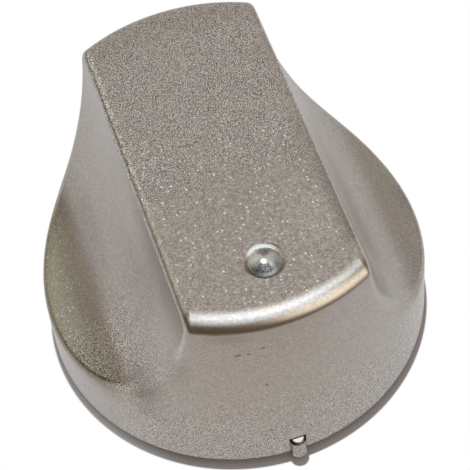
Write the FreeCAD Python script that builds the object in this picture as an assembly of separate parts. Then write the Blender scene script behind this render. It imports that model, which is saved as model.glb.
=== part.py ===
import FreeCAD, Part
import math
import os

# Cooker control knob: a round skirt under a straight bar grip with two hollow flanks,
# moulded as one shell, with a pressed-in hub that pushes onto a flatted spindle.
# Millimetres. +Z points out of the cooker's panel and -Y towards the pointer pip.
# The origin is on the spindle axis, at the open end of the hub, where the knob rests.

V = FreeCAD.Vector
AXIS = V(0, 0, 1)

# Outside form of the body
skirt_diameter = 46.0       # round wall at the rim
body_height = 29.7          # rim to flat top
wall_draft = 0.25           # degrees that the round wall leans in
grip_width = 20.9           # flat top across, before its edges are rounded
flank_draft = 4.0           # degrees from upright where a flank leaves the top
flank_upper_radius = 38.0   # hollow of a flank, upper arc
flank_turn = 26.0           # degrees from upright where the lower arc takes over
lip_height = 7.75           # rim to the lip where a flank runs out on the round wall
end_edge_radius = 2.0       # top edge at the two ends of the bar
side_edge_radius = 1.1      # top edge along its two sides
ridge_radius = 0.8          # ridge between a flank and the round wall, at its upper end
bend_radius = 2.5           # the same ridge where it bends away to the lip
lip_radius = 1.0            # and on the lip
lip_length = 18.0           # stretch of the lip, front to back, with that radius
rim_chamfer = 0.25          # lower outer edge of the skirt

# Pointer pip on the front of the skirt
pip_diameter = 2.0
pip_height = 3.0
pip_chamfer = 0.25

# Shell, ribs and hub socket
wall = 2.0
top_wall = 2.4
rib_thickness = 1.4
rib_setback = 4.0           # rim to the lower edge of the ribs
socket_wall = 1.8
socket_setback = 2.0        # rim to the open end of the socket
shoulder_width = 1.2        # ledge in the socket that the hub seats on

# Hub insert and the spindle it takes
hub_standout = 1.7          # how far the hub's end stands out of the skirt
hub_diameter = 12.8
hub_length = 21.0
hub_edge_chamfer = 0.4
hub_clearance = 0.05
key_count = 4
key_width = 1.8
key_height = 0.8
key_setback = 1.0           # socket's open end to the start of the keys
spindle_diameter = 6.0
spindle_across_flat = 4.6
spindle_clearance = 0.05
lead_in_clearance = 0.25
lead_in_length = 4.0        # round stretch of the bore, ahead of its flat
bore_depth = 17.0
mouth_chamfer = 0.4

# Leaf spring behind the flat of the bore
spring_width = 4.0
spring_thickness = 0.35
spring_length = 11.0
spring_reach = 0.1          # how far the bow stands into the bore past the flat
spring_pocket_depth = 0.9
spring_end_gap = 0.5        # end of the lead-in to the spring
spring_seat_gap = 0.03

# Bright stud in the flat top
stud_setback = 7.45         # front of the skirt to the middle of the stud
stud_head_diameter = 4.0
stud_head_height = 0.95
stud_shank_diameter = 2.2
stud_shank_length = 3.4
stud_clearance = 0.02
recess_diameter = 4.7       # dished seat at the top face
recess_depth = 0.45
recess_floor_gap = 0.05     # round the head, at the floor of the seat
stud_boss_wall = 1.3

# Places that follow from the sizes
rim_z = hub_standout
top_z = rim_z + body_height
skirt_radius = skirt_diameter / 2
hub_radius = hub_diameter / 2
socket_z = rim_z + socket_setback
keyed_radius = hub_radius + key_height
bore_radius = spindle_diameter / 2 + spindle_clearance
lead_in_radius = spindle_diameter / 2 + lead_in_clearance
flat_y = spindle_across_flat - spindle_diameter / 2 + spindle_clearance
stud_y = stud_setback - skirt_radius
CLEAR = 5.0                 # how far a cutting block runs past what it cuts
NEAR = 1e-3                 # two heights this close are the same


def block(low, high):
    """A box between two corners."""
    size = V(*high) - V(*low)
    return Part.makeBox(size.x, size.y, size.z, V(*low))


def rod(radius, low_z, high_z, x=0.0, y=0.0):
    """An upright cylinder between two heights."""
    return Part.makeCylinder(radius, high_z - low_z, V(x, y, low_z), AXIS)


def turned(points, x=0.0, y=0.0):
    """A solid turned about an upright axis from radius and height pairs."""
    wire = Part.makePolygon([V(r, 0, z) for r, z in points + points[:1]])
    solid = Part.Face(wire).revolve(V(0, 0, 0), AXIS, 360)
    solid.translate(V(x, y, 0))
    return solid


def wall_radius(z):
    """Radius of the drafted round wall at a height."""
    return skirt_radius - (z - rim_z) * math.tan(math.radians(wall_draft))


def flank_points(inset):
    """Points that draw the +X flank: two arcs that curve out from the grip to the skirt's lip.

    The arcs are hollow, so their centres lie outside the knob, and a surface that is
    set in by a wall's thickness has radii larger by that thickness.
    """
    start = math.radians(flank_draft)
    turn = math.radians(flank_turn)
    centre_x = grip_width / 2 + flank_upper_radius * math.cos(start)
    centre_z = top_z + flank_upper_radius * math.sin(start)
    turn_x = centre_x - flank_upper_radius * math.cos(turn)
    turn_z = centre_z - flank_upper_radius * math.sin(turn)
    # The lower arc leaves the upper one without a kink and ends on the lip.
    run = skirt_radius - turn_x
    drop = turn_z - (rim_z + lip_height)
    end = 2 * math.atan2(run, drop) - turn
    lower_radius = math.hypot(run, drop) / (2 * math.sin((end - turn) / 2))
    shift = lower_radius - flank_upper_radius
    lower_x = centre_x + shift * math.cos(turn)
    lower_z = centre_z + shift * math.sin(turn)

    def on_arc(x, z, radius, angle):
        reach = radius + inset
        return V(x - reach * math.cos(angle), 0, z - reach * math.sin(angle))

    upper = [on_arc(centre_x, centre_z, flank_upper_radius, a) for a in (start, (start + turn) / 2, turn)]
    lower = [on_arc(lower_x, lower_z, lower_radius, a) for a in (turn, (turn + end) / 2, end)]
    return upper, lower


def flank_cutters(inset, side):
    """Three blocks in a row that hollow one flank. They part where the lip's even rounding ends."""
    upper, lower = flank_points(inset)
    far = skirt_radius + CLEAR
    lean = math.tan(math.radians(flank_draft))
    above = V(upper[0].x - CLEAR * lean, 0, upper[0].z + CLEAR)
    outline = [
        Part.LineSegment(above, upper[0]),
        Part.Arc(*upper),
        Part.Arc(*lower),
        Part.LineSegment(lower[2], V(far, 0, lower[2].z)),
        Part.LineSegment(V(far, 0, lower[2].z), V(far, 0, above.z)),
        Part.LineSegment(V(far, 0, above.z), above),
    ]
    face = Part.Face(Part.Wire([curve.toShape() for curve in outline]))
    cutters = []
    stations = [-far, -lip_length / 2, lip_length / 2, far]
    for start, end in zip(stations, stations[1:]):
        cutter = face.translated(V(0, start, 0)).extrude(V(0, end - start, 0))
        cutters.append(cutter if side > 0 else cutter.mirror(V(0, 0, 0), V(1, 0, 0)))
    return cutters


def knob_form(inset, low_z, high_z):
    """The round wall, flat top and hollow flanks, set in by a wall's thickness."""
    height = high_z - low_z
    cone = Part.makeCone(wall_radius(low_z) - inset, wall_radius(high_z) - inset, height, V(0, 0, low_z))
    # The cone's seam goes to the back, clear of the pip and of both flanks.
    cone.rotate(V(0, 0, 0), AXIS, 90)
    return cone.cut(flank_cutters(inset, 1) + flank_cutters(inset, -1))


def ridge_rounding(point):
    """The radius of the ridge between a flank and the round wall, at the end of one stretch."""
    if point.z > top_z - NEAR:
        return ridge_radius
    return bend_radius if abs(point.y) > lip_length / 2 + NEAR else lip_radius


def edge_radii(edge):
    """The radii that an edge of the sharp outside form is rounded to at its ends, or nothing."""
    box = edge.BoundBox
    if box.ZMin > top_z - NEAR:
        radius = side_edge_radius if box.XLength < NEAR else end_edge_radius
        return radius, radius
    # Below the top only the ridges are rounded: not the rim, the wall's seam or the joins in a flank.
    on_wall = all(abs(math.hypot(p.x, p.y) - wall_radius(p.z)) < NEAR for p in edge.discretize(3))
    if not on_wall or box.ZMin < rim_z + NEAR:
        return None
    return tuple(ridge_rounding(edge.valueAt(end)) for end in edge.ParameterRange)


def outside_form():
    """The outside of the knob, all its edges rounded together so that their corners blend."""
    sharp = knob_form(0, rim_z, top_z)
    document = FreeCAD.newDocument()
    base = document.addObject("Part::Feature", "base")
    base.Shape = sharp
    fillet = document.addObject("Part::Fillet", "rounding")
    fillet.Base = base
    radii = [edge_radii(edge) for edge in sharp.Edges]
    fillet.Edges = [(n, *pair) for n, pair in enumerate(radii, 1) if pair]
    document.recompute()
    form = fillet.Shape.Solids[0]
    FreeCAD.closeDocument(document.Name)
    rim = [e for e in form.Edges if e.BoundBox.ZMax < rim_z + NEAR]
    return form.makeChamfer(rim_chamfer, rim)


def pointer_pip():
    """The half-round nib on the skirt, whose inner half is within the wall."""
    nib = rod(pip_diameter / 2, rim_z, rim_z + pip_height, y=-skirt_radius)
    top = [e for e in nib.Edges if e.BoundBox.ZMin > rim_z + pip_height - NEAR]
    return nib.makeChamfer(pip_chamfer, top)


def keys(extra, low_z, high_z):
    """The keys round the hub, or with a clearance the keyways round its socket.

    They stand half a turn of the pattern away from the ribs, where the socket is free to give.
    """
    bars = []
    for n in range(key_count):
        half = key_width / 2 + extra
        bar = block((-half, 0, low_z), (half, keyed_radius + extra, high_z))
        bar.rotate(V(0, 0, 0), AXIS, 360 / key_count * (n + 0.5))
        bars.append(bar)
    return bars


def hub_socket():
    """What is hollowed out of the socket: the hub's seat, and a narrower core over its shoulder."""
    seat = rod(hub_radius + hub_clearance, rim_z, hub_length)
    core = rod(hub_radius - shoulder_width, rim_z, top_z - top_wall)
    return seat.fuse(keys(hub_clearance, rim_z, hub_length) + [core])


def ribs():
    """Four webs that tie the socket to the round wall and the flanks."""
    half = rib_thickness / 2
    low_z = rim_z + rib_setback
    along = block((-half, -skirt_radius, low_z), (half, skirt_radius, top_z))
    across = block((-skirt_radius, -half, low_z), (skirt_radius, half, top_z))
    return [along, across]


def stud_boss():
    """The post under the flat top that holds the stud's shank."""
    low_z = top_z - recess_depth - stud_shank_length - stud_boss_wall
    return rod(stud_shank_diameter / 2 + stud_boss_wall, low_z, top_z, y=stud_y)


def stud_seat():
    """The dished recess in the flat top, and the hole under it for the shank."""
    floor_z = top_z - recess_depth
    floor_radius = stud_head_diameter / 2 + recess_floor_gap
    flare = (recess_diameter / 2 - floor_radius) / recess_depth
    dish = turned([
        (0, floor_z),
        (floor_radius, floor_z),
        (recess_diameter / 2 + flare * CLEAR, top_z + CLEAR),
        (0, top_z + CLEAR),
    ], y=stud_y)
    hole_z = floor_z - stud_shank_length - stud_clearance
    hole = rod(stud_shank_diameter / 2 + stud_clearance, hole_z, top_z, y=stud_y)
    return dish.fuse(hole)


def knob_body():
    """The moulded shell: skirt, grip, pip, ribs, hub socket and stud seat in one piece."""
    outside = outside_form().fuse(pointer_pip())
    core = knob_form(wall, rim_z - CLEAR, top_z - top_wall)
    post = rod(keyed_radius + hub_clearance + socket_wall, socket_z, top_z)
    hollow = core.cut(ribs() + [post, stud_boss()])
    return outside.cut([hollow, hub_socket(), stud_seat()])


def shaft_hub():
    """The hub insert: keyed outside, with a flatted bore and a pocket for the spring."""
    blank = rod(hub_radius, 0, hub_length)
    open_end = [e for e in blank.Edges if e.BoundBox.ZMax < NEAR]
    blank = blank.makeChamfer(hub_edge_chamfer, open_end)
    blank = blank.fuse(keys(0, socket_z + key_setback, hub_length))

    mouth = turned([
        (0, -CLEAR),
        (lead_in_radius + mouth_chamfer + CLEAR, -CLEAR),
        (lead_in_radius, mouth_chamfer),
        (lead_in_radius, lead_in_length),
        (0, lead_in_length),
    ])
    bore = rod(bore_radius, 0, bore_depth)
    beyond_flat = block((-hub_radius, flat_y, 0), (hub_radius, hub_radius, bore_depth + CLEAR))
    half = spring_width / 2 + spring_seat_gap
    low_z = lead_in_length + spring_end_gap
    pocket = block(
        (-half, 0, low_z - spring_seat_gap),
        (half, flat_y + spring_pocket_depth, low_z + spring_length + spring_seat_gap),
    )
    return blank.cut([mouth, bore.cut(beyond_flat), pocket])


def spindle_spring():
    """The bowed leaf that presses on the spindle's flat, its ends against the pocket's back."""
    half = spring_length / 2
    low_z = lead_in_length + spring_end_gap
    middle_z = low_z + half
    back_y = flat_y + spring_pocket_depth - spring_seat_gap
    bow = back_y - (flat_y - spring_reach + spring_thickness)
    radius = (half ** 2 + bow ** 2) / (2 * bow)
    centre_y = back_y - bow + radius

    def on_arc(r, angle):
        return V(-spring_width / 2, centre_y - r * math.cos(angle), middle_z + r * math.sin(angle))

    end = math.asin(half / radius)
    inner = [on_arc(radius, a) for a in (-end, 0, end)]
    outer = [on_arc(radius + spring_thickness, a) for a in (end, 0, -end)]
    outline = [
        Part.Arc(*inner),
        Part.LineSegment(inner[2], outer[0]),
        Part.Arc(*outer),
        Part.LineSegment(outer[2], inner[0]),
    ]
    leaf = Part.Face(Part.Wire([curve.toShape() for curve in outline])).extrude(V(spring_width, 0, 0))
    # The leaf's ends are cut square, so that they fit the length of the pocket.
    high_z = low_z + spring_length
    return leaf.common(block((-spring_width, -hub_radius, low_z), (spring_width, hub_radius, high_z)))


def index_stud():
    """The bright domed stud, its shank in the post under the flat top."""
    seat_z = top_z - recess_depth
    head_radius = stud_head_diameter / 2
    ball = (head_radius ** 2 + stud_head_height ** 2) / (2 * stud_head_height)
    # The ball lies on its side, so that its poles and its seam are clear of the dome.
    head = Part.makeSphere(ball, V(0, stud_y, seat_z + stud_head_height - ball), V(-1, 0, 0))
    over = block((-ball, stud_y - ball, seat_z), (ball, stud_y + ball, top_z + ball))
    shank_radius = stud_shank_diameter / 2
    shank = rod(shank_radius, seat_z - stud_shank_length, seat_z + stud_head_height / 2, y=stud_y)
    return head.common(over).fuse(shank)


def main():
    pieces = {
        "knob_body": knob_body(),
        "shaft_hub": shaft_hub(),
        "spindle_spring": spindle_spring(),
        "index_stud": index_stud(),
    }
    os.makedirs("parts", exist_ok=True)
    for name, shape in pieces.items():
        solid = shape.removeSplitter().Solids[0]
        print(name, solid.isValid(), len(shape.Solids), "volume", round(solid.Volume, 1))
        solid.exportStep("parts/" + name + ".step")


main()
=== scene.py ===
import math

import bmesh
import bpy
from mathutils import Matrix, Vector

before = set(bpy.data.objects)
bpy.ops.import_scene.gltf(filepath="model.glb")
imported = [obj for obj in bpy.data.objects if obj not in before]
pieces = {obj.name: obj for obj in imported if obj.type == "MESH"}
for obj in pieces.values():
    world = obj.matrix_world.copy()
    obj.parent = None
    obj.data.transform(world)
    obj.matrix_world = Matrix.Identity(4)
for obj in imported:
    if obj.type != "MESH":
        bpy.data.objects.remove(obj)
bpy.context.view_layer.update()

MM = 0.001

# Places on the knob in millimetres, in the frame of the CAD model
SKIRT_RADIUS = 23.0
WALL_STARTS = (22.5, 22.8)      # distance from the axis where flanks and lips give way to the round wall
TOP_Z = 31.4
STUD_Y = -15.55
STUD_RADIUS = 2.0
PAST_SEAT = (2.4, 2.5)          # distance from the stud's middle, just outside its dished seat
PIP_RADIUS = 1.0
PIP_TOP_Z = 4.7
# Small dark specks in the finish of the front
SPECKS = (
    (-5.8, -22.1, 25.2), (-5.5, -22.2, 25.3), (-4.5, -22.5, 25.3), (-2.9, -22.7, 26.1),
    (-2.9, -22.7, 18.2), (-3.0, -22.8, 8.0),
)
SPECK_EDGE = (0.05, 0.3)        # distance from a speck's middle over which it fades
SPECK_LEVEL = 0.55
# Painted light and shade, where the metal looks lighter or darker than the lights alone make it: middle,
# reach each way, how much
LIGHT_SHADE_PATCHES = (
    ((-17.5, -9.0, 13.0), (2.5, 13.5, 7.0), 1.47),      # left flank, bottom
    ((-16.0, -15.3, 14.6), (2.4, 4.0, 3.4), 0.78),      # left flank, front end of the bottom
    ((-15.0, 7.0, 16.2), (1.8, 9.0, 4.0), 0.87),        # left flank, back half
    ((-17.8, 4.5, 12.7), (2.2, 9.0, 2.2), 1.32),        # left flank, bottom of the back half
    ((-6.7, -21.9, 28.6), (4.5, 2.0, 1.6), 0.82),       # under the bright front edge, left half
    ((-14.8, -16.5, 16.3), (2.4, 3.0, 3.2), 0.84),      # left crease, low
    ((-12.2, -19.3, 21.5), (2.4, 3.0, 4.0), 0.87),      # left crease, high
    ((-12.2, -14.0, 22.5), (2.5, 7.5, 6.0), 1.2),       # left side of the grip, front
    ((22.3, 1.0, 9.7), (2.5, 6.0, 4.0), 0.83),          # right lip, middle
    ((18.5, -13.0, 12.0), (2.5, 3.0, 3.0), 0.86),       # right lip, front end
    ((14.0, -12.5, 18.0), (3.0, 5.0, 5.0), 1.26),       # right flank, front
    ((13.4, -4.0, 20.2), (3.0, 17.0, 4.7), 1.55),       # right flank, under the grip's edge
    ((10.0, -18.5, 31.0), (1.6, 3.5, 2.0), 1.2),        # right edge of the top, front
    ((6.5, -12.0, 31.4), (4.0, 6.0, 2.0), 1.1),         # right half of the top, front
)

# Sizes of the metal flakes, in millimetres
FINE_FLAKE = 0.095
COARSE_FLAKE = 0.2
BRIGHT_FLAKE = 0.5

# Colours of the body, with painted highlights among them
WARM_GREY = (0.36, 0.322, 0.290, 1)
LILAC_GREY = (0.357, 0.322, 0.300, 1)
PALE_FLAKE = (0.62, 0.61, 0.6, 1)
# GLINT: painted glints on the flakes
GLINT = (0.85, 0.83, 0.80, 1)
# PIP_HIGHLIGHT: painted highlight on the pip's end
PIP_HIGHLIGHT = (1, 1, 0.98, 1)
# SEAT_HIGHLIGHT: painted highlight on the far wall of the stud's seat
SEAT_HIGHLIGHT = (0.95, 0.93, 0.88, 1)
# MATT_GREY: the metal's lit tone, painted on a matt patch of wall over the pip
MATT_GREY = (0.305, 0.272, 0.262, 1)
WHITE = (1, 1, 1, 1)
EDGE_TINT = (0.87, 0.87, 0.87, 1)   # how much of the light a slanting view of the metal keeps

# The camera, fitted to the knob's outline and ridges in the photograph
VIEW_AZIMUTH = -12.7        # degrees, from the front towards the left
VIEW_ELEVATION = 55.65      # degrees above the floor
VIEW_ROLL = -6.8            # degrees
VIEW_AIM = Vector((0, 0, 13.7)) * MM
VIEW_DISTANCE = 241.2 * MM
VIEW_OFFSET = (-0.54 * MM, -0.62 * MM)
VIEW_FOCAL_PIXELS = 2035
IMAGE_PIXELS = 470
SENSOR_MM = 36.0
VIEW_TURN = math.radians(-18)       # how far "across the picture" is turned on the flat top

# The studio: soft round lights, each with azimuth from the front, elevation, half width, and colour
SOFT_LIGHTS = {
    "ceiling": (30, 79, 38, (1.47, 1.62, 1.68)),
    "window": (-4, 59, 45, (1.71, 2.01, 2.28)),
    "low_lamp": (32, 10, 38, (2.45, 2.30, 1.98)),
    "far_wall": (164, 29, 75, (0.61, 0.65, 0.67)),
    "left_wall": (220, 30, 33, (0.60, 0.68, 0.60)),
}
ROOM = (0.22, 0.16, 0.10)           # dim light from all round

# The sheet of paper under the knob
PAPER_FRONT = 50.0                  # millimetres from the knob's axis to the front edge
PAPER_REACH = 400.0                 # and to the other edges
PAPER_WHITE = (0.9, 0.9, 0.9, 1)
SHADE_LEFT = (0.38, 0.345, 0.325, 1)
SHADE_REST = (0.25, 0.21, 0.195, 1)


def direction(azimuth, elevation):
    """The unit vector from the knob towards a point of the studio, both angles in degrees."""
    azimuth, elevation = math.radians(azimuth), math.radians(elevation)
    return Vector((
        math.sin(azimuth) * math.cos(elevation),
        -math.cos(azimuth) * math.cos(elevation),
        math.sin(elevation),
    ))


class Value:
    """A shader socket that arithmetic works on."""

    def __init__(self, nodes, socket):
        self.nodes = nodes
        self.socket = socket

    def _math(self, operation, *values):
        return self.nodes.add("Math", {"operation": operation}, *values)

    def __add__(self, other):
        return self._math("ADD", self, other)

    def __radd__(self, other):
        return self._math("ADD", other, self)

    def __sub__(self, other):
        return self._math("SUBTRACT", self, other)

    def __rsub__(self, other):
        return self._math("SUBTRACT", other, self)

    def __mul__(self, other):
        return self._math("MULTIPLY", self, other)

    def __rmul__(self, other):
        return self._math("MULTIPLY", other, self)

    def __truediv__(self, other):
        return self._math("DIVIDE", self, other)

    def __pow__(self, other):
        return self._math("POWER", self, other)

    def at_least(self, other):
        return self._math("MAXIMUM", self, other)

    def smooth(self, low, high):
        """0 below low, 1 above high, and a soft ramp between them."""
        settings = {"interpolation_type": "SMOOTHSTEP"}
        return self.nodes.add("MapRange", settings, self, low, high)


class Nodes:
    """The shader nodes of a material or a world. add() makes any node from its type and inputs."""

    def __init__(self, owner, output):
        self.owner = owner
        owner.use_nodes = True
        self.tree = owner.node_tree
        self.tree.nodes.clear()
        self.output = self.tree.nodes.new("ShaderNodeOutput" + output)

    def add(self, kind, settings=None, *values, out=0, **named):
        node = self.tree.nodes.new("ShaderNode" + kind)
        for key, setting in (settings or {}).items():
            setattr(node, key, setting)
        inputs = [s for s in node.inputs if s.enabled]
        pairs = list(zip(inputs, values)) + [(pick(inputs, key), v) for key, v in named.items()]
        for socket, value in pairs:
            self.feed(socket, value)
        outputs = [s for s in node.outputs if s.enabled]
        return Value(self, outputs[out] if isinstance(out, int) else pick(outputs, out))

    def feed(self, socket, value):
        if isinstance(value, Value):
            self.tree.links.new(value.socket, socket)
        else:
            socket.default_value = value

    def place(self):
        """The point on the object, in millimetres."""
        return self.scaled(self.add("TexCoord", out="Object"), 1 / MM)

    def along(self, point):
        """The three parts of a point."""
        return [self.add("SeparateXYZ", None, point, out=n) for n in range(3)]

    def scaled(self, vector, factor):
        """A point or a colour, times a number."""
        return self.add("VectorMath", {"operation": "SCALE"}, vector, Scale=factor)

    def blend(self, first, second, factor):
        """A colour between two colours."""
        return self.add("Mix", {"data_type": "RGBA"}, factor, first, second)

    def finish(self, shader):
        self.tree.links.new(shader.socket, self.output.inputs["Surface"])
        return self.owner


def pick(sockets, name):
    """The socket that goes by a name, in which _ stands for a space."""
    return next(s for s in sockets if s.name == name.replace("_", " "))


def material(name):
    return Nodes(bpy.data.materials.new(name), "Material")


class Body:
    """Places and zones of the knob's body. A zone is 1 inside and 0 outside, with soft edges."""

    def __init__(self, nodes):
        self.nodes = nodes
        self.place = nodes.place()
        self.x, self.y, self.z = nodes.along(self.place)
        self.radius = (self.x * self.x + self.y * self.y) ** 0.5
        self.on_top = self.z.smooth(TOP_Z - 1.2, TOP_Z - 0.6)
        self.on_wall = self.radius.smooth(*WALL_STARTS)
        self.left_lip = (1 - self.x.smooth(-19.5, -16)) * (1 - self.on_wall)
        self.right_band = self.on_top * self.x.smooth(8.2, 9.5)
        in_front = 1 - self.y.smooth(-5, 0)
        self.front_edge = self.radius.smooth(20.8, 21.4) * self.z.smooth(28, 29.2) * in_front

    def cells(self, size, out):
        """Flakes of a size in millimetres: the distance from their middles, or a colour for each."""
        return self.nodes.add("TexVoronoi", None, self.place, Scale=1 / size, out=out)

    def chance(self, size):
        """A random number from 0 to 1 for each flake."""
        return self.nodes.add("SeparateColor", None, self.cells(size, "Color"))


def flake_tone(body):
    """The light and dark of the metal flakes. How far they stand out changes over the body."""
    x, y, z = body.x, body.y, body.z
    off_wall = 1 - body.on_wall
    near_half = 1 - y.smooth(-9, 1)
    front_low = (1 - z.smooth(4, 20)) * body.on_wall * x.smooth(-21, -16)
    front_left = (1 - x.smooth(-16, -11)) * (1 - y.smooth(-8, -2)) * (1 - z.smooth(11, 20)) * off_wall
    left_low = (1 - x.smooth(-14, -11)) * (1 - y.smooth(-8, 0)) * off_wall
    # Fine grain: the strongest on the far half of the top, then low on the skirt and the left flank
    side_grain = 0.6 - 0.1 * body.on_wall + 1.2 * front_low + 0.9 * front_left + 0.6 * left_low
    top_grain = 0.35 + 2.6 * (1 - near_half) - 0.9 * y.smooth(16.5, 19)
    grain = (side_grain + (top_grain - side_grain) * body.on_top) * (1 - 0.65 * body.front_edge)
    grain = grain * (1 - 0.5 * body.right_band)
    tone = 1 + grain * (body.cells(FINE_FLAKE, "Distance").smooth(0.3, 0.75) - 0.49)
    # Soft coarse grain, the strongest on the near half of the top
    coarse = body.chance(COARSE_FLAKE).smooth(0.2, 0.8) * 2 - 1
    return tone + coarse * (0.06 + 0.11 * body.on_top * near_half) * (1 - 0.45 * body.front_edge)


def glints(body):
    """Painted glints: sparse flakes drawn bright as if catching the light, on the near half of the top and
    along the left lip.
    """
    chosen = body.chance(BRIGHT_FLAKE).smooth(0.45, 0.95)
    glint = (1 - body.cells(BRIGHT_FLAKE, "Distance").smooth(0.1, 0.36)) * chosen
    glint = glint * (body.on_top * (1 - body.y.smooth(0, 8)) + (1 - body.on_top) * body.left_lip * 0.5)
    return glint * (1 - body.front_edge) * (1 - body.right_band)


def stud_seat(body):
    """The painted light on the wall of the stud's seat, and the painted highlight on the part of its far
    side that is the brightest.
    """
    x, y = body.x, body.y - STUD_Y
    from_stud = (x * x + y ** 2) ** 0.5
    below_top = 1 - body.z.smooth(TOP_Z - 0.06, TOP_Z - 0.02)
    seat_wall = body.on_top * below_top * (1 - from_stud.smooth(*PAST_SEAT))
    far_side = (y + 0.3 * x).smooth(0.4, 1.2)
    level = 1 + seat_wall * (far_side * 0.9 + (1 - far_side) * from_stud.smooth(2.08, 2.16) * 0.9)
    brightest = seat_wall * (y + 0.1 * x).smooth(0.8, 1.9) * (1 - from_stud.smooth(2.12, 2.34))
    return level, brightest


def pip_end(body):
    """The end of the pip, and the part of it that catches the light: a painted highlight inside a painted
    dark edge.
    """
    x, y, z = body.x, body.y, body.z
    from_pip = (x * x + (y + SKIRT_RADIUS) ** 2) ** 0.5
    end = z.smooth(PIP_TOP_Z - 0.3, PIP_TOP_Z - 0.2) * (1 - z.smooth(PIP_TOP_Z, PIP_TOP_Z + 0.1))
    end = end * (1 - from_pip.smooth(PIP_RADIUS + 0.05, PIP_RADIUS + 0.1))
    bright = end * (1 - from_pip.smooth(0.62, 0.72))
    return end, bright * (1 - y.smooth(-0.15 - SKIRT_RADIUS, -0.05 - SKIRT_RADIUS))


def wall_over_pip(body):
    """The wall that would mirror the pip's painted highlight: the upper half of an ellipse, leaning left.
    """
    above = body.z - PIP_TOP_Z
    off_middle = ((body.x + 0.15 * above) ** 2 + (0.667 * above) ** 2) ** 0.5
    over_pip = above.smooth(0, 0.1) * (1 - body.y.smooth(-20, -18)) * body.on_wall
    return over_pip * (1 - off_middle.smooth(0.9, 1.4))


def body_tints(body):
    """Warm grey with lilac in soft patches; painted shade, olive to brown, at the left lip and its edge, at
    the top of the left wall and at the far edge of the top; the front wall a little warmer and darker.
    """
    nodes = body.nodes
    x, y, z = body.x, body.y, body.z
    hue = nodes.add("TexNoise", None, body.place, Scale=0.35, Detail=0.0).smooth(0.5, 0.7)
    colour = nodes.blend(WARM_GREY, LILAC_GREY, hue)
    lip_line = body.left_lip * body.radius.smooth(21.4, 22.2)
    wall_left = (1 - x.smooth(-16.5, -13)) * body.on_wall * z.smooth(7.5, 10.8)
    far_edge = y.smooth(16, 19.5) * body.on_top
    wall_front = body.on_wall * (1 - y.smooth(-19, -15)) * (1 - x.smooth(-2, 12))
    # Each zone is darkened by its tint; at the left lip, its edge, the left wall and the far edge this is
    # painted shade
    for zone, tint in (
        (body.left_lip, (0.86, 0.85, 0.83, 1)),
        (lip_line, (0.92, 0.92, 0.82, 1)),
        (wall_left, (0.7, 0.69, 0.63, 1)),
        (far_edge, (0.93, 0.92, 0.90, 1)),
        (wall_front, (0.945, 0.92, 0.89, 1)),
    ):
        shade = nodes.blend(WHITE, tint, zone)
        colour = nodes.add("VectorMath", {"operation": "MULTIPLY"}, colour, shade)
    return colour


def patched(body, level):
    """The light level, with the patches of painted light and shade, the specks and the two long painted
    bands in it.
    """
    nodes = body.nodes
    x, y, z = body.x, body.y, body.z
    for middle, reach, change in LIGHT_SHADE_PATCHES:
        offset = nodes.add("VectorMath", {"operation": "SUBTRACT"}, body.place, middle)
        offset = nodes.add("VectorMath", {"operation": "DIVIDE"}, offset, reach)
        nearness = 1 - nodes.add("VectorMath", {"operation": "LENGTH"}, offset, out="Value").smooth(0, 1)
        level = level * (1 + (change - 1) * nearness)
    for point in SPECKS:
        near = nodes.add("VectorMath", {"operation": "DISTANCE"}, body.place, point, out="Value")
        level = level * near.smooth(*SPECK_EDGE).at_least(SPECK_LEVEL)
    # A painted lighter band, a sheen on the near half of the left flank, under the grip's edge
    left_side = (1 - x.smooth(-10.5, -10.2)) * (1 - body.on_wall)
    left_band = z.smooth(21.5, 26) * (1 - z.smooth(30, 30.6)) * left_side
    level = level * (1 + 0.27 * left_band * (1 - y.smooth(-2, 6)))
    # A band of painted shade at the right of the top's near half, short of the top's edge and its front
    darker = 0.2 * body.right_band * (1 - x.smooth(9.9, 10.4)) * (1 - y.smooth(-10, 4)) * y.smooth(-19, -16)
    return level * (1 - darker)


def satin_silver():
    """Warm grey metal flake. The stud's seat and the pip's end carry painted highlights, and the wall over
    the pip a matt patch in the metal's lit tone.
    """
    nodes = material("satin_silver")
    body = Body(nodes)
    tone = flake_tone(body)
    level, bright_seat = stud_seat(body)
    pip, bright_end = pip_end(body)
    # The pip's end is darkened as painted shade round its painted highlight
    level = patched(body, level * (1 - 0.75 * pip))
    matt_wall = wall_over_pip(body)
    colour = nodes.scaled(body_tints(body), tone.at_least(0.02))
    colour = nodes.blend(colour, PALE_FLAKE, tone.smooth(1, 2.4) * 0.5)
    colour = nodes.scaled(colour, level)
    # Painted glints
    colour = nodes.blend(colour, GLINT, glints(body))
    # Painted highlight on the pip's end
    colour = nodes.blend(colour, PIP_HIGHLIGHT, bright_end)
    # Painted highlight on the far side of the stud's seat
    colour = nodes.blend(colour, SEAT_HIGHLIGHT, bright_seat)
    # Matt patch in the metal's lit tone, where the wall would mirror the pip's painted highlight
    colour = nodes.blend(colour, MATT_GREY, matt_wall)
    shader = nodes.add(
        "BsdfPrincipled", Base_Color=colour,
        Metallic=1 - 0.8 * bright_seat - 0.6 * bright_end - 0.95 * matt_wall,
        Roughness=0.3 + 0.4 * matt_wall, Specular_Tint=EDGE_TINT,
    )
    return nodes.finish(shader)


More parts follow.
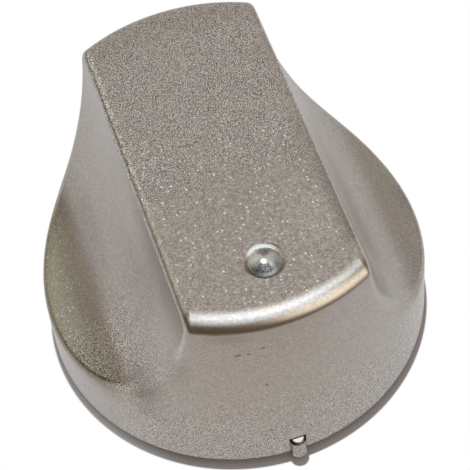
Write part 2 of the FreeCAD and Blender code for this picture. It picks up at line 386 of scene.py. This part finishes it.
def bright_stud():
    """Polished metal that mirrors the lights, blurred, with a room's reflection painted on: dark before and
    behind it, light beside it, and a painted highlight spot.
    """
    nodes = material("bright_stud")
    place = nodes.place()
    x, y = nodes.along(place)[:2]
    y = y - STUD_Y
    # Places on the dome, from -1 to 1, turned as the picture shows it
    across = (x * math.cos(VIEW_TURN) + y * math.sin(VIEW_TURN)) / STUD_RADIUS
    along = (y * math.cos(VIEW_TURN) - x * math.sin(VIEW_TURN)) / STUD_RADIUS
    # Painted reflection: lighter and darker by place on the dome, darker towards its front rim, and a white
    # highlight spot
    out = (across * across + (along + 0.12) ** 2) ** 0.5
    sideways = (across * across - along * along) / (out * out + 0.001)
    reach = 0.62 + 0.56 * along.smooth(-0.1, 0.1)
    dark = (1 - sideways.smooth(-0.7, 0.2)) * out.smooth(0.15, 0.3) * (1 - (out - reach).smooth(0, 0.15))
    mottle = nodes.add("TexNoise", None, place, Scale=5.0, Detail=2.0).smooth(0.35, 0.65)
    rim = (across * across + along * along).smooth(0.8, 0.92)
    level = (0.47 - 0.27 * (1 - along.smooth(-1.0, 0.2))) * (0.85 + 0.3 * mottle)
    level = level * (1 - dark * (0.8 - 0.3 * mottle)) * (1 - 0.6 * rim * (1 - along.smooth(-0.5, 0.3)))
    colour = nodes.scaled((1.0, 0.985, 0.95), level)
    # Painted highlight spot
    spot = 1 - ((across + 0.05) ** 2 + (along + 0.16) ** 2).smooth(0.01, 0.035)
    colour = nodes.blend(colour, WHITE, spot)
    shader = nodes.add("BsdfPrincipled", Base_Color=colour, Metallic=1.0, Roughness=0.38)
    return nodes.finish(shader)


def moulded(name, colour, roughness):
    """Plain plastic, a little cloudy and finely textured."""
    nodes = material(name)
    place = nodes.place()
    cloud = nodes.add("TexNoise", None, place, Scale=0.4, Detail=3.0)
    grain = nodes.add("TexNoise", None, place, Scale=6.0, Detail=1.0)
    tone = 1 + (cloud - 0.5) * 0.5 + (grain - 0.5) * 0.3
    bump = nodes.add("Bump", Strength=0.15, Distance=0.02 * MM, Height=grain)
    shader = nodes.add(
        "BsdfPrincipled", Base_Color=nodes.scaled(colour, tone),
        Roughness=roughness + (cloud - 0.5) * 0.2, Normal=bump,
    )
    return nodes.finish(shader)


def spring_steel():
    """Strip steel, drawn lengthwise: along the spindle."""
    nodes = material("spring_steel")
    x, y, z = nodes.along(nodes.place())
    drawn = nodes.add("CombineXYZ", None, x * 8, y * 8, z * 0.3)
    streaks = nodes.add("TexNoise", None, drawn, Scale=1.0, Detail=3.0)
    colour = nodes.scaled((0.55, 0.55, 0.56), 0.8 + streaks * 0.4)
    shader = nodes.add("BsdfPrincipled", Base_Color=colour, Metallic=1.0, Roughness=0.2 + streaks * 0.2)
    return nodes.finish(shader)


def new_piece(name, shape, finish):
    mesh = bpy.data.meshes.new(name)
    shape.to_mesh(mesh)
    shape.free()
    mesh.materials.append(finish)
    piece = bpy.data.objects.new(name, mesh)
    bpy.context.scene.collection.objects.link(piece)
    return piece


def background_rays(nodes):
    """1 for rays that see a background: from the camera, and by way of metal or glass."""
    seen = nodes.add("LightPath", out="Is Camera Ray")
    mirrored = nodes.add("LightPath", out="Is Glossy Ray")
    through_glass = nodes.add("LightPath", out="Is Transmission Ray")
    return seen.at_least(mirrored).at_least(through_glass)


def add_floor():
    """A sheet of white paper, with the shade that the skirt and the pip throw straight down."""
    nodes = material("white_paper")
    x, y = nodes.along(nodes.place())[:2]
    from_skirt = (x * x + y * y) ** 0.5 - SKIRT_RADIUS
    from_pip = (x * x + (y + SKIRT_RADIUS + 0.2) ** 2) ** 0.5 - PIP_RADIUS
    bare = from_skirt.smooth(0.2, 0.5) * from_pip.smooth(0.0, 0.25)
    shade = nodes.blend(SHADE_LEFT, SHADE_REST, x.smooth(-21, -12))
    paper = nodes.add("BsdfDiffuse", Color=nodes.blend(shade, PAPER_WHITE, bare))
    white = nodes.add("Emission", Color=WHITE, Strength=1.0)
    shader = nodes.add("MixShader", None, background_rays(nodes) * bare, paper, white)
    shape = bmesh.new()
    bmesh.ops.create_grid(shape, x_segments=1, y_segments=1, size=1)
    back = Vector((0, (PAPER_REACH - PAPER_FRONT) / 2, 0)) * MM
    size = Vector((PAPER_REACH, (PAPER_REACH + PAPER_FRONT) / 2, 1)) * MM
    shape.transform(Matrix.Translation(back) @ Matrix.Diagonal(size).to_4x4())
    new_piece("floor", shape, nodes.finish(shader))


def add_studio():
    """The world: a dim room with the soft lights in it, and plain white where the camera looks."""
    nodes = Nodes(bpy.data.worlds.new("studio"), "World")
    bpy.context.scene.world = nodes.owner
    ray = nodes.add("TexCoord", out="Generated")
    light = nodes.add("CombineXYZ", None, *ROOM)
    for azimuth, elevation, width, colour in SOFT_LIGHTS.values():
        towards = direction(azimuth, elevation)
        nearness = nodes.add("VectorMath", {"operation": "DOT_PRODUCT"}, ray, towards, out="Value")
        glow = nearness.smooth(math.cos(math.radians(width)), 1.0)
        light = nodes.add("VectorMath", {"operation": "MULTIPLY_ADD"}, colour, glow, light)
    studio = nodes.add("Background", None, light, 1.0)
    white = nodes.add("Background", None, WHITE, 1.0)
    camera_ray = nodes.add("LightPath", out="Is Camera Ray")
    nodes.finish(nodes.add("MixShader", None, camera_ray, studio, white))


def add_camera():
    back = direction(VIEW_AZIMUTH, VIEW_ELEVATION)
    azimuth, roll = math.radians(VIEW_AZIMUTH), math.radians(VIEW_ROLL)
    level = Vector((math.cos(azimuth), math.sin(azimuth), 0))
    upright = back.cross(level)
    right = level * math.cos(roll) + upright * math.sin(roll)
    up = upright * math.cos(roll) - level * math.sin(roll)
    lens = bpy.data.cameras.new("camera")
    lens.sensor_width = SENSOR_MM
    lens.lens = VIEW_FOCAL_PIXELS / IMAGE_PIXELS * SENSOR_MM
    lens.clip_start = 0.01
    camera = bpy.data.objects.new("camera", lens)
    turn = Matrix((right, up, back)).transposed().to_4x4()
    place = VIEW_AIM + back * VIEW_DISTANCE - right * VIEW_OFFSET[0] - up * VIEW_OFFSET[1]
    camera.matrix_world = Matrix.Translation(place) @ turn
    bpy.context.scene.collection.objects.link(camera)
    bpy.context.scene.camera = camera


for piece, finish in (
    ("knob_body", satin_silver()),
    ("shaft_hub", moulded("hub_plastic", (0.03, 0.03, 0.03), 0.45)),
    ("spindle_spring", spring_steel()),
    ("index_stud", bright_stud()),
):
    pieces[piece].material_slots[0].material = finish

add_floor()
add_studio()
add_camera()

bpy.context.scene.view_settings.view_transform = "Standard"
